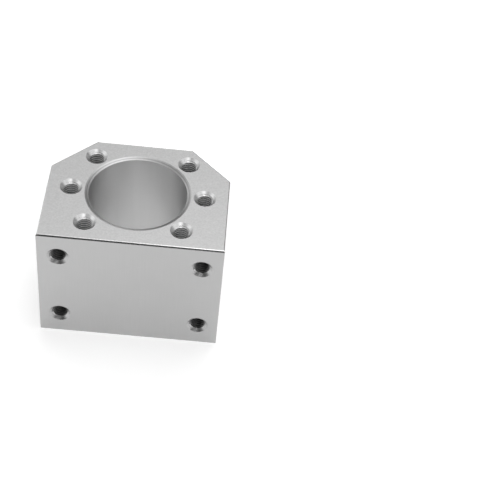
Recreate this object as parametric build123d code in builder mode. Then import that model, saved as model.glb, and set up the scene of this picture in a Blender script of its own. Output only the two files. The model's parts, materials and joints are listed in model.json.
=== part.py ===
from build123d import *
from math import radians, sqrt, tan
import os

# Ball screw nut housing: one block of extruded aluminium, cut to length and machined.
# The bore axis is Z. The plain end lies on Z = 0, the flange face is on top, and the
# mounting face looks along -Y. All sizes are in millimetres.

# Driving sizes: the bore and the metal around it
bore_diameter = 28.0  # takes the body of a flanged ball nut
length = 40.0  # plain end to flange face, along the bore
base_wall = 6.0  # bore to the mounting face
crown_wall = 6.0  # bore to the narrow face opposite the mounting face

# Driving sizes: the circle of screw holes that holds the nut's flange
screw_gap = 5.0  # bore to the circle through the screw holes' centres
screw_angle = 45.0  # between neighbouring screw holes on one side of the bore
screw_depth = 14.5  # face to the foot of the straight wall
side_margin = 7.0  # screw circle to each side face
corner_margin = 5.0  # screw circle to each sloping corner face

# Driving sizes: the four screw holes in the mounting face
mount_side_margin = 6.0  # side face to the nearer column of holes
mount_end_margin = 8.0  # end face to the nearer row of holes
mount_web = 2.0  # metal left between their drill points and the flange's screw holes

# Driving sizes: every screw hole is drilled for an M5 thread and countersunk
tap_diameter = 4.2
drill_point_angle = 118.0
screw_sink_diameter = 6.4  # in the flange face
screw_sink_angle = 90.0
mount_sink_diameter = 6.2  # in the mounting face, a little smaller and flatter
mount_sink_angle = 110.0

# Driving sizes: broken edges
mouth_chamfer = 1.1  # both mouths of the bore, measured across the end face
mouth_chamfer_angle = 22.5  # to the end face
end_chamfer = 0.35  # outer edges of the two end faces

# Sizes that follow from those above
bore_radius = bore_diameter / 2
screw_circle = bore_radius + screw_gap
tap_radius = tap_diameter / 2
drill_point = tap_radius / tan(radians(drill_point_angle / 2))

half_width = screw_circle + side_margin
base_distance = bore_radius + base_wall
crown_distance = bore_radius + crown_wall
corner_distance = screw_circle + corner_margin
# Each corner face is at 45 degrees to its neighbours, so the cut's leg is what the
# square corner sticks out past the corner face, measured along X or Y.
corner_leg = half_width + crown_distance - corner_distance * sqrt(2)

mount_spacing_x = 2 * (half_width - mount_side_margin)
mount_spacing_z = length - 2 * mount_end_margin
mount_depth = base_distance - tap_radius - mount_web - drill_point

flange_plane = Plane.XY.offset(length)
mounting_plane = Plane(
    origin=(0, -base_distance, length / 2), x_dir=(1, 0, 0), z_dir=(0, -1, 0)
)


def drill_screw_hole(depth, sink_diameter, sink_angle):
    """Blind hole down the local -Z axis: countersink, straight wall and drill point."""
    CounterSinkHole(tap_radius, sink_diameter / 2, depth, sink_angle)
    with Locations((0, 0, -depth)):
        Cone(
            bottom_radius=0,
            top_radius=tap_radius,
            height=drill_point,
            align=(Align.CENTER, Align.CENTER, Align.MAX),
            mode=Mode.SUBTRACT,
        )


with BuildPart() as nut_housing:
    # Section of the block: a rectangle with its two crown corners sloped, and the bore
    with BuildSketch(Plane.XY) as section:
        with Locations((0, -base_distance)):
            Rectangle(
                2 * half_width,
                base_distance + crown_distance,
                align=(Align.CENTER, Align.MIN),
            )
        chamfer(section.vertices().group_by(Axis.Y)[-1], corner_leg)
        Circle(bore_radius, mode=Mode.SUBTRACT)
    extrude(amount=length)

    # Broken edges at both ends: the mouth of the bore, then the outline
    for end_face in nut_housing.faces().filter_by(Axis.Z):
        mouth = end_face.edges().filter_by(GeomType.CIRCLE)
        chamfer(mouth, mouth_chamfer, angle=mouth_chamfer_angle, reference=end_face)
    for end_face in nut_housing.faces().filter_by(Axis.Z):
        chamfer(end_face.outer_wire().edges(), end_chamfer)

    # Three screw holes on each side of the bore, in the flange face
    with Locations(flange_plane):
        for side in (0, 180):
            with PolarLocations(
                screw_circle, 3, side - screw_angle, 2 * screw_angle, endpoint=True
            ):
                drill_screw_hole(screw_depth, screw_sink_diameter, screw_sink_angle)

    # Four screw holes in the mounting face
    with Locations(mounting_plane):
        with GridLocations(mount_spacing_x, mount_spacing_z, 2, 2):
            drill_screw_hole(mount_depth, mount_sink_diameter, mount_sink_angle)

nut_housing.part.label = "nut_housing"

os.makedirs("parts", exist_ok=True)
export_step(nut_housing.part, "parts/nut_housing.step")
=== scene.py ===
import bmesh
import bpy
import json
import math
from mathutils import Matrix, Vector

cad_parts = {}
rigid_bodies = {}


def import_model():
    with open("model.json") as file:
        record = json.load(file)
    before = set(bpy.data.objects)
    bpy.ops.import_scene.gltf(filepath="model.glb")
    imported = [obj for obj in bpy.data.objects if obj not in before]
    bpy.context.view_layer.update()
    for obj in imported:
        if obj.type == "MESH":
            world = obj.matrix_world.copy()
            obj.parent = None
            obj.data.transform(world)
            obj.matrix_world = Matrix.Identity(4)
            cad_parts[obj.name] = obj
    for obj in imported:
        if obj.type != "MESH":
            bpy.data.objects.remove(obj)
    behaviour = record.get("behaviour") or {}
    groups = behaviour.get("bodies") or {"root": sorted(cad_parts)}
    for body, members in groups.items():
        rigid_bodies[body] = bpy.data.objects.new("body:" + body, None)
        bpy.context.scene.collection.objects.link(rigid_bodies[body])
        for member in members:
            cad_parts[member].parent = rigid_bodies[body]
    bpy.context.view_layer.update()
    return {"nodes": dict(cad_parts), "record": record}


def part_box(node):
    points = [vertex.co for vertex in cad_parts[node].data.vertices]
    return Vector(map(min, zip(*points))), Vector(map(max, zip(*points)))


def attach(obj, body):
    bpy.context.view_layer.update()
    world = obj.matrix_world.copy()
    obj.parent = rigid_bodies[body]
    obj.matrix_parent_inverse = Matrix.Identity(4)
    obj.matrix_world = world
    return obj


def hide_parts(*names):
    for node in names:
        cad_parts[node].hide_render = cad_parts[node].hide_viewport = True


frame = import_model()

MM = 0.001
NODE = "nut_housing"
BODY = "root"
MOUNTS = {mount["name"]: mount for mount in frame["record"]["mounts"]}
BORE_RADIUS = MOUNTS["bore"]["dims"]["r_mm"] * MM

# Broken edges, in metres as all lengths are
MOUTH_WIDTH = 1.1 * MM  # chamfer of both mouths of the bore, measured on the end face
MOUTH_DEPTH = 0.456 * MM  # the same chamfer, measured down the bore
# Outline's broken edge at each end, from the face down: inset and depth of its three corners
END_BREAK = [(0.43 * MM, 0.0), (0.25 * MM, 0.07 * MM), (0.0, 0.5 * MM)]
LONG_EDGE_RADIUS = 0.15 * MM  # corners of the extruded section

# Screw holes: countersinks by mouth radius and cone angle, depths from the face to the
# foot of the straight wall
FLANGE_SINK = (3.2 * MM, math.radians(90))
MOUNT_SINK = (3.1 * MM, math.radians(110))
FLANGE_HOLE_DEPTH = 14.5 * MM
MOUNT_HOLE_DEPTH = 14.6 * MM
DRILL_POINT = 1.26 * MM  # height of the cone under the straight wall
DRILL_TIP_RADIUS = 0.02 * MM
CUTTER_REACH = 0.5 * MM  # how far a hole's cutter stands out of the mouth

# M5 threads
THREAD_PITCH = 0.8 * MM
ROOT_RADIUS = 2.53 * MM  # floor of the groove
ROOT_WIDTH = THREAD_PITCH / 8  # flat at the floor of the groove
THREAD_LENGTH = 12.0 * MM
THREAD_OVERLAP = 0.1 * MM  # how far the groove's cutter stands inside the tap-drill wall
THREAD_PHASE = math.radians(240)  # turn of the groove where it starts
FLANK_ANGLE = math.radians(30)
RUNOUT_TURNS = 1.5  # the groove fades over its last turns
RUNOUT_END = 0.05  # share of the cutter's height that is left at its foot

# How finely curves are cut up
BORE_STEPS = 256
HOLE_STEPS = 72
THREAD_STEPS = 48
CORNER_STEPS = 12
CREASE = math.radians(10)  # faces that meet at more than this stay sharp

# What tells the zones of the machined faces apart
NEAR = 0.03 * MM  # a face this close to a surface lies on it
SQUARE_ON = 0.99  # part of a normal along an axis, for a face that looks along it
UPRIGHT = 0.1  # most that the normal of an upright wall has along the bore
SIDEWAYS = 0.5  # least that the normal of a side or a sloping corner has across the bore
CONE_TOLERANCE = 0.05  # how far a normal may be off a countersink's slope
CREST_TILT = 0.2  # an upper flank of a thread looks out of the hole by more than this

# Mean tone and roughness of the finishes
GRAINED = (0.498, 0.4)
SATIN = (0.454, 0.305)
BORE = (0.745, 0.3)
MOUTH = (0.5, 0.425)
SATIN_CONE = (0.454, 0.3)
EDGE = (0.82, 0.2)
CUT = (0.74, 0.37)
CREST = (0.78, 0.36)
# Near-black tone of the flange-hole faces that look into the hole: painted shade of the thread
# grooves
THREAD_PAINTED_SHADE = (0.08, 0.3)
# Dark tone of all faces inside the mounting holes below the countersink: painted shade of the holes
MOUNT_HOLE_PAINTED_SHADE = (0.2, 0.4)
PAINTED_BAND = (0.02 * MM, 0.1 * MM)  # half heights of the dark ring's core and of all of it; the ring is a painted dark band in the chamfer's reflection
PAINTED_BAND_TONES = (-0.14, 0.03)  # added to the mouth's tone in the core and off the ring
EDGE_ALIGNMENT = (0.85, 0.99)  # agreement of rounded and flat normals: on an edge, off it
EDGE_SAMPLES = 6

# Studio light. Softboxes are given by azimuth from +X, elevation and reach in degrees, and
# strength, which is negative for a dark screen. It holds in full over the core share of the reach.
AMBIENT = 0.095
DARKEST = 0.02
SOFTBOX_CORE = 0.25
SOFTBOXES = [
    (88, 74, 36, 2.1),
    (-77, 39, 21, 2.3),
    (-48, 42, 15, 0.8),
    (-15, 20, 35, 1.12),
    (-162, 25, 51, 1.14),
    (-113, 3, 36, -1.19),
    (156, 66, 35, -1.19),
    (-141, 38, 11, -0.95),
    (30, 73, 22, 1.1),
    (135, 6, 25, 0.6),
    (131, 38, 14, 2.1),
    (44, 4, 22, 0.5),
    (-135, 66, 16, 0.7),
    (88, 1, 11, 2.6),
    (92, 46, 23, 0.7),
]

# Floor
FLOOR_REACH = 2.0
FLOOR_COLOUR = (0.9, 0.9, 0.9, 1)
FLOOR_GLOW = 0.39
WHITE = (1, 1, 1, 1)

# The photograph's camera, fitted to the block's corners and holes. Angles are in degrees.
CAMERA_AZIMUTH = -92.592
CAMERA_ELEVATION = 46.353
CAMERA_ROLL = 7.108
CAMERA_AIM = Vector((0, 0, 20 * MM))
CAMERA_DISTANCE = 365.337 * MM
CAMERA_SHIFT_RIGHT = -33.413 * MM
CAMERA_SHIFT_UP = 2.612 * MM
CAMERA_CLIP = (0.01, 10)
FOCAL_PIXELS = 1237.5
FRAME_PIXELS = 500
SENSOR_WIDTH = 36.0


def add_object(name, data):
    piece = bpy.data.objects.new(name, data)
    bpy.context.scene.collection.objects.link(piece)
    return piece


def direction(azimuth, elevation):
    """Unit vector from the object towards an azimuth from +X and an elevation, in degrees."""
    around = math.radians(azimuth)
    above = math.radians(elevation)
    level = math.cos(above)
    return Vector((math.cos(around) * level, math.sin(around) * level, math.sin(above)))


def mesh_from_rings(name, rings):
    """A closed skin through rings of points, all with the same count, capped at both ends."""
    shape = bmesh.new()
    rows = [[shape.verts.new(point) for point in ring] for ring in rings]
    for below, above in zip(rows, rows[1:]):
        for i in range(len(below)):
            j = (i + 1) % len(below)
            shape.faces.new((below[i], below[j], above[j], above[i]))
    shape.faces.new(rows[0])
    shape.faces.new(rows[-1])
    bmesh.ops.recalc_face_normals(shape, faces=shape.faces)
    mesh = bpy.data.meshes.new(name)
    shape.to_mesh(mesh)
    shape.free()
    return mesh


def section_outline():
    """The block's outline in XY, read from the CAD node: a rectangle with sloping crown corners."""
    low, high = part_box(NODE)
    points = [vertex.co for vertex in frame["nodes"][NODE].data.vertices]
    crown_half = max(p.x for p in points if p.y > high.y - NEAR)
    side_top = max(p.y for p in points if p.x > high.x - NEAR)
    right = [(high.x, low.y), (high.x, side_top), (crown_half, high.y)]
    left = [(-x, y) for x, y in reversed(right)]
    return [Vector(p) for p in right + left]


def inset_ring(outline, inset, height):
    """The outline moved inwards, with rounded corners, as a ring of points at that height."""
    count = len(outline)
    ring = []
    for i in range(count):
        before, here, after = outline[i - 1], outline[i], outline[(i + 1) % count]
        along_in = (here - before).normalized()
        along_out = (after - here).normalized()
        normal_in = Vector((along_in.y, -along_in.x))
        normal_out = Vector((along_out.y, -along_out.x))
        half_turn = normal_in.angle(normal_out) / 2
        bisector = (normal_in + normal_out).normalized()
        centre = here - bisector * (inset + LONG_EDGE_RADIUS) / math.cos(half_turn)
        for k in range(CORNER_STEPS + 1):
            share = k / CORNER_STEPS
            angle = math.atan2(normal_in.y, normal_in.x) + 2 * half_turn * share
            rim = centre + LONG_EDGE_RADIUS * Vector((math.cos(angle), math.sin(angle)))
            ring.append((rim.x, rim.y, height))
    return ring


def block_mesh():
    low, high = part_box(NODE)
    outline = section_outline()
    rings = [inset_ring(outline, inset, low.z + depth) for inset, depth in END_BREAK]
    rings += [inset_ring(outline, inset, high.z - depth) for inset, depth in reversed(END_BREAK)]
    return mesh_from_rings("block", rings)


def lathe_mesh(name, profile, steps):
    """A solid of revolution about Z, from (radius, height) points off the axis."""
    turns = [2 * math.pi * i / steps for i in range(steps)]
    rings = [[(r * math.cos(t), r * math.sin(t), z) for t in turns] for r, z in profile]
    return mesh_from_rings(name, rings)


def bore_cutter():
    """The bore and its two mouths, whose cones run on as far again outside the block."""
    low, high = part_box(NODE)
    profile = [
        (BORE_RADIUS + 2 * MOUTH_WIDTH, low.z - MOUTH_DEPTH),
        (BORE_RADIUS, low.z + MOUTH_DEPTH),
        (BORE_RADIUS, high.z - MOUTH_DEPTH),
        (BORE_RADIUS + 2 * MOUTH_WIDTH, high.z + MOUTH_DEPTH),
    ]
    return lathe_mesh("bore_cutter", profile, BORE_STEPS)


def sink_depth(radius, sink):
    mouth, cone = sink
    return (mouth - radius) / math.tan(cone / 2)


def hole_cutter(radius, depth, sink):
    """Drill and countersink, with the mouth at Z = 0 and the hole below it."""
    mouth, cone = sink
    profile = [
        (DRILL_TIP_RADIUS, -depth - DRILL_POINT),
        (radius, -depth),
        (radius, -sink_depth(radius, sink)),
        (mouth + CUTTER_REACH * math.tan(cone / 2), CUTTER_REACH),
    ]
    return lathe_mesh("hole_cutter", profile, HOLE_STEPS)


def thread_cutter(radius):
    """The groove of a right-hand thread as one closed ridge along a helix, from above the mouth."""
    inner = radius - THREAD_OVERLAP
    root_half = ROOT_WIDTH / 2
    start = THREAD_PITCH / 2
    steps = int((start + THREAD_LENGTH) / THREAD_PITCH * THREAD_STEPS)
    rings = []
    for k in range(steps + 1):
        angle = THREAD_PHASE - 2 * math.pi * k / THREAD_STEPS
        height = start - THREAD_PITCH * k / THREAD_STEPS
        left = (steps - k) / THREAD_STEPS / RUNOUT_TURNS
        outer = inner + (ROOT_RADIUS - inner) * min(1.0, left + RUNOUT_END)
        foot_half = root_half + (outer - inner) * math.tan(FLANK_ANGLE)
        corners = [(inner, -foot_half), (outer, -root_half), (outer, root_half), (inner, foot_half)]
        ring = [(r * math.cos(angle), r * math.sin(angle), height + dz) for r, dz in corners]
        rings.append(ring)
    return mesh_from_rings("thread_cutter", rings)


def pattern_centres(name):
    """Hole centres of a rectangular or inline bolt pattern, in the mount's own plane."""
    dims = MOUNTS[name]["dims"]
    half_x = dims.get("spacing_x_mm", 0) * MM / 2
    half_y = dims.get("spacing_y_mm", 0) * MM / 2
    return sorted({(i * half_x, j * half_y) for i in (-1, 1) for j in (-1, 1)})


def screw_holes():
    """Placement, tap radius, depth and sink of all ten holes.

    A placement's origin is the middle of the mouth, and its +Z points out of it.
    """
    low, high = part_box(NODE)
    holes = []
    for name in ("flange_screws_diagonal", "flange_screws_middle"):
        radius = MOUNTS[name]["dims"]["hole_r_mm"] * MM
        for x, y in pattern_centres(name):
            placement = Matrix.Translation((x, y, high.z))
            holes.append((placement, radius, FLANGE_HOLE_DEPTH, FLANGE_SINK))
    mount = MOUNTS["mounting_screws"]
    radius = mount["dims"]["hole_r_mm"] * MM
    centre_z = mount["pos_m"][2]
    facing = Matrix.Rotation(math.radians(90), 4, "X")
    for x, z in pattern_centres("mounting_screws"):
        placement = Matrix.Translation((x, low.y, centre_z + z)) @ facing
        holes.append((placement, radius, MOUNT_HOLE_DEPTH, MOUNT_SINK))
    return holes


def housing_piece():
    """The whole block with its bore, screw holes and threads, cut as one mesh."""
    block = add_object("block", block_mesh())
    cutters = bpy.data.collections.new("cutters")
    cutters.objects.link(bpy.data.objects.new("bore_cutter", bore_cutter()))
    for number, (placement, radius, depth, sink) in enumerate(screw_holes()):
        for mesh in (hole_cutter(radius, depth, sink), thread_cutter(radius)):
            mesh.transform(placement)
            cutters.objects.link(bpy.data.objects.new(f"{mesh.name}_{number}", mesh))
    cut = block.modifiers.new("cut", "BOOLEAN")
    cut.operation = "DIFFERENCE"
    cut.operand_type = "COLLECTION"
    cut.collection = cutters
    cut.solver = "MANIFOLD"
    depsgraph = bpy.context.evaluated_depsgraph_get()
    mesh = bpy.data.meshes.new_from_object(block.evaluated_get(depsgraph))
    for leftover in [block, *cutters.objects]:
        bpy.data.objects.remove(leftover)
    bpy.data.collections.remove(cutters)
    return add_object("machined_housing", mesh)


def face_zone(centre, normal, low, high, wells):
    """Which finish a face of the housing has, from where it lies and where it looks."""
    radius = math.hypot(centre.x, centre.y)
    upright = abs(normal.z) < UPRIGHT
    if upright and radius < BORE_RADIUS + NEAR:
        return "bore"
    for looks_out, depth, zone in (
        (normal.z, high.z - centre.z, "grained"),
        (-normal.z, centre.z - low.z, "satin"),
        (normal.y, high.y - centre.y, "grained"),
        (-normal.y, centre.y - low.y, "satin"),
    ):
        if looks_out > SQUARE_ON and depth < NEAR:
            return zone
    on_side = high.x - abs(centre.x) < NEAR
    on_corner = centre.y > 0 and normal.y > SIDEWAYS
    if upright and abs(normal.x) > SIDEWAYS and (on_side or on_corner):
        return "satin"
    for inverse, tap, sink in wells:
        place = inverse @ centre
        if math.hypot(place.x, place.y) > sink[0] + NEAR:
            continue
        if -FLANGE_HOLE_DEPTH < place.z < NEAR:
            looks_out = (inverse.to_3x3() @ normal).z
            cone_error = abs(looks_out - math.sin(sink[1] / 2))
            on_cone = place.z > -sink_depth(tap, sink) and cone_error < CONE_TOLERANCE
            if sink is MOUNT_SINK:
                # below the countersink a mounting hole gets a dark tone, which is painted shade
                return "satin_cone" if on_cone else "mount_hole_painted_shade"
            if on_cone:
                return "cut"
            # faces that look into the hole get the thread finish, whose near-black tone is painted
            # shade
            return "crest" if looks_out > CREST_TILT else "thread"
    return "mouth" if radius < BORE_RADIUS + MOUTH_WIDTH else "edge"


class Nodes:
    """A node tree under construction: adds nodes and hands back their outputs."""

    def __init__(self, tree):
        self.nodes = tree.nodes
        self.links = tree.links

    def add(self, kind, inputs, **settings):
        """A new node. Its inputs are given by name or number, as values or other outputs."""
        node = self.nodes.new(kind)
        for name, value in settings.items():
            setattr(node, name, value)
        for key, value in inputs.items():
            if isinstance(value, bpy.types.NodeSocket):
                self.links.new(value, node.inputs[key])
            else:
                node.inputs[key].default_value = value
        return node.outputs

    def combine(self, operation, one, other=0):
        """Arithmetic on one or two values."""
        return self.add("ShaderNodeMath", {0: one, 1: other}, operation=operation)[0]

    def agreement(self, one, other):
        """The dot product of two directions."""
        inputs = {0: one, 1: other}
        return self.add("ShaderNodeVectorMath", inputs, operation="DOT_PRODUCT")["Value"]

    def spread(self, value, low, high, start=0.25, end=0.75, blend="LINEAR"):
        """Low up to the start, high from the end on and a blend between, as the value runs."""
        inputs = {"Value": value, "From Min": start, "From Max": end, "To Min": low, "To Max": high}
        return self.add("ShaderNodeMapRange", inputs, interpolation_type=blend)["Result"]

    def sway(self, noise, mean, swing):
        """The mean, give or take the swing, as the noise runs."""
        return self.spread(noise, mean - swing, mean + swing)


class Finish(Nodes):
    """A metal material under construction."""

    def __init__(self, name):
        self.material = bpy.data.materials.new(name)
        self.material.use_nodes = True
        super().__init__(self.material.node_tree)
        self.shader = self.nodes["Principled BSDF"]
        self.shader.inputs["Metallic"].default_value = 1
        self.place = self.add("ShaderNodeTexCoord", {})["Object"]

    def noise(self, size, detail=2):
        """Noise whose grains are about size = (x, y, z) metres."""
        stretch = self.add("ShaderNodeVectorMath", {0: self.place, 1: size}, operation="DIVIDE")
        inputs = {"Vector": stretch[0], "Scale": 1, "Detail": detail}
        return self.add("ShaderNodeTexNoise", inputs)["Fac"]

    def height(self):
        return self.add("ShaderNodeSeparateXYZ", {0: self.place})["Z"]

    def brighten_edges(self, tone, radius, gain):
        """The tone plus a gain that rises from nothing on open faces to all on a sharp edge."""
        rounded = self.add("ShaderNodeBevel", {"Radius": radius}, samples=EDGE_SAMPLES)[0]
        flat = self.add("ShaderNodeNewGeometry", {})["Normal"]
        lift = self.spread(self.agreement(rounded, flat), gain, 0, *EDGE_ALIGNMENT)
        return self.combine("ADD", tone, lift)

    def dress(self, tone, roughness, relief, depth):
        """Joins tone, roughness and a relief of that depth to the shader."""
        self.links.new(tone, self.shader.inputs["Base Color"])
        self.links.new(roughness, self.shader.inputs["Roughness"])
        normal = self.add("ShaderNodeBump", {"Height": relief, "Distance": depth})[0]
        self.links.new(normal, self.shader.inputs["Normal"])
        return self.material


def grained_finish():
    """Clear-anodised face with a fine matte grain and a faint mottle."""
    tone_mean, roughness_mean = GRAINED
    finish = Finish("aluminium_grained")
    grain = finish.noise(size=(0.5 * MM, 0.42 * MM, 0.42 * MM))
    mottle = finish.noise(size=(1.8 * MM, 1.3 * MM, 1.3 * MM))
    tone = finish.sway(grain, tone_mean, swing=0.055)
    tone = finish.combine("MULTIPLY", tone, finish.sway(mottle, 1, swing=0.025))
    tone = finish.brighten_edges(tone, radius=0.3 * MM, gain=0.12)
    roughness = finish.sway(grain, roughness_mean, swing=0.04)
    return finish.dress(tone, roughness, relief=grain, depth=0.004 * MM)


def satin_finish():
    """Smooth anodised face with very faint lines drawn along the block."""
    tone_mean, roughness_mean = SATIN
    finish = Finish("aluminium_satin")
    lines = finish.noise(size=(0.25 * MM, 0.25 * MM, 12 * MM))
    cloud = finish.noise(size=(6 * MM, 6 * MM, 6 * MM))
    tone = finish.sway(lines, tone_mean, swing=0.008)
    tone = finish.combine("MULTIPLY", tone, finish.sway(cloud, 1, swing=0.015))
    tone = finish.brighten_edges(tone, radius=0.25 * MM, gain=0.1)
    roughness = finish.sway(cloud, roughness_mean, swing=0.025)
    return finish.dress(tone, roughness, relief=lines, depth=0.001 * MM)


def bore_finish():
    """Turned wall: rings round the axis, which draw reflections out along it, and soft streaks."""
    tone_mean, roughness_mean = BORE
    finish = Finish("aluminium_bore")
    rings = finish.noise(size=(200 * MM, 200 * MM, 0.12 * MM), detail=3)
    streaks = finish.noise(size=(2 * MM, 2 * MM, 60 * MM))
    tone = finish.sway(rings, tone_mean, swing=0.02)
    tone = finish.combine("MULTIPLY", tone, finish.sway(streaks, 1, swing=0.015))
    finish.shader.inputs["Anisotropic"].default_value = 0.9
    finish.shader.inputs["Anisotropic Rotation"].default_value = 0.25
    round_axis = finish.add("ShaderNodeTangent", {}, direction_type="RADIAL", axis="Z")[0]
    finish.links.new(round_axis, finish.shader.inputs["Tangent"])
    roughness = finish.sway(streaks, roughness_mean, swing=0.01)
    return finish.dress(tone, roughness, relief=rings, depth=0.002 * MM)


def mouth_finish():
    """Turned chamfer with a darker ring painted round the middle of its slope, which stands in for
    a dark band in its reflection.
    """
    tone_mean, roughness_mean = MOUTH
    low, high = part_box(NODE)
    finish = Finish("aluminium_mouth")
    marks = finish.noise(size=(0.8 * MM, 0.8 * MM, 0.3 * MM), detail=3)
    height = finish.height()
    distances = []
    for middle in (high.z - MOUTH_DEPTH / 2, low.z + MOUTH_DEPTH / 2):
        distances.append(finish.combine("ABSOLUTE", finish.combine("SUBTRACT", height, middle)))
    # distance to the painted dark ring that stands in for a band of reflection
    to_painted_band = finish.combine("MINIMUM", *distances)
    dark, plain = PAINTED_BAND_TONES
    tone = finish.spread(to_painted_band, tone_mean + dark, tone_mean + plain, *PAINTED_BAND)
    tone = finish.combine("MULTIPLY", tone, finish.sway(marks, 1, swing=0.08))
    roughness = finish.sway(marks, roughness_mean, swing=0.035)
    return finish.dress(tone, roughness, relief=marks, depth=0.003 * MM)


def cut_finish(name, tone_mean, roughness_mean):
    """Cut metal of chamfers, countersinks and threads, a little uneven."""
    finish = Finish(name)
    marks = finish.noise(size=(0.45 * MM, 0.45 * MM, 0.3 * MM), detail=3)
    tone = finish.sway(marks, tone_mean, swing=0.14 * tone_mean)
    roughness = finish.sway(marks, roughness_mean, swing=0.15 * roughness_mean)
    return finish.dress(tone, roughness, relief=marks, depth=0.003 * MM)


def zone_materials():
    return {
        "grained": grained_finish(),
        "satin": satin_finish(),
        "bore": bore_finish(),
        "satin_cone": cut_finish("aluminium_satin_cone", *SATIN_CONE),
        "edge": cut_finish("aluminium_edge", *EDGE),
        "mouth": mouth_finish(),
        "cut": cut_finish("aluminium_cut", *CUT),
        "crest": cut_finish("aluminium_crest", *CREST),
        "thread": cut_finish("aluminium_thread_painted_shade", *THREAD_PAINTED_SHADE),
        "mount_hole_painted_shade": cut_finish("aluminium_mount_hole_painted_shade", *MOUNT_HOLE_PAINTED_SHADE),
    }


def finish_housing(housing):
    """Gives each face the material of its zone, and keeps the creases sharp."""
    mesh = housing.data
    low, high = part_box(NODE)
    wells = [(placement.inverted(), radius, sink) for placement, radius, _, sink in screw_holes()]
    materials = zone_materials()
    slots = {zone: number for number, zone in enumerate(materials)}
    mesh.materials.clear()
    for material in materials.values():
        mesh.materials.append(material)
    for face in mesh.polygons:
        face.material_index = slots[face_zone(face.center, face.normal, low, high, wells)]
    mesh.set_sharp_from_angle(angle=CREASE)


def add_floor():
    """A pale floor, which glows a little to the camera and in reflections only."""
    low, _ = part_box(NODE)
    corners = [(-1, -1), (1, -1), (1, 1), (-1, 1)]
    points = [(FLOOR_REACH * x, FLOOR_REACH * y, low.z) for x, y in corners]
    mesh = bpy.data.meshes.new("floor")
    mesh.from_pydata(points, [], [(0, 1, 2, 3)])
    floor = add_object("floor", mesh)
    material = bpy.data.materials.new("floor_white")
    material.use_nodes = True
    material.node_tree.nodes.clear()
    tree = Nodes(material.node_tree)
    ray = tree.add("ShaderNodeLightPath", {})
    seen = tree.combine("MAXIMUM", ray["Is Camera Ray"], ray["Is Glossy Ray"])
    seen = tree.combine("MAXIMUM", seen, ray["Is Transmission Ray"])
    plain = tree.add("ShaderNodeBsdfDiffuse", {"Color": FLOOR_COLOUR})[0]
    glow = tree.add("ShaderNodeEmission", {"Color": WHITE, "Strength": FLOOR_GLOW})[0]
    glowing = tree.add("ShaderNodeAddShader", {0: plain, 1: glow})[0]
    surface = tree.add("ShaderNodeMixShader", {0: seen, 1: plain, 2: glowing})[0]
    tree.add("ShaderNodeOutputMaterial", {"Surface": surface})
    mesh.materials.append(material)


def add_world():
    """An even, dim studio with softboxes and dark screens faded into it."""
    world = bpy.data.worlds.new("studio")
    bpy.context.scene.world = world
    world.use_nodes = True
    world.node_tree.nodes.clear()
    tree = Nodes(world.node_tree)
    ray = tree.add("ShaderNodeTexCoord", {})["Generated"]
    level = AMBIENT
    for azimuth, elevation, reach, strength in SOFTBOXES:
        closeness = tree.agreement(ray, direction(azimuth, elevation))
        rim = math.cos(math.radians(reach))
        core = math.cos(math.radians(reach * SOFTBOX_CORE))
        softbox = tree.spread(closeness, 0, strength, rim, core, "SMOOTHSTEP")
        level = tree.combine("ADD", level, softbox)
    level = tree.combine("MAXIMUM", level, DARKEST)
    room = tree.add("ShaderNodeBackground", {"Color": WHITE, "Strength": level})[0]
    tree.add("ShaderNodeOutputWorld", {"Surface": room})


def add_camera():
    back = direction(CAMERA_AZIMUTH, CAMERA_ELEVATION)
    level_right = (-back).cross(Vector((0, 0, 1))).normalized()
    level_up = level_right.cross(-back)
    roll = math.radians(CAMERA_ROLL)
    right = math.cos(roll) * level_right + math.sin(roll) * level_up
    up = -math.sin(roll) * level_right + math.cos(roll) * level_up
    shift = CAMERA_SHIFT_RIGHT * right + CAMERA_SHIFT_UP * up
    place = CAMERA_AIM - shift + CAMERA_DISTANCE * back
    turn = Matrix((right, up, back)).transposed().to_4x4()
    camera = bpy.data.cameras.new("camera")
    camera.sensor_width = SENSOR_WIDTH
    camera.lens = FOCAL_PIXELS / FRAME_PIXELS * SENSOR_WIDTH
    camera.clip_start, camera.clip_end = CAMERA_CLIP
    piece = add_object("camera", camera)
    piece.matrix_world = Matrix.Translation(place) @ turn
    bpy.context.scene.camera = piece


housing = housing_piece()
finish_housing(housing)
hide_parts(NODE)
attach(housing, BODY)

add_floor()
add_world()
add_camera()

bpy.context.scene.view_settings.view_transform = "Standard"
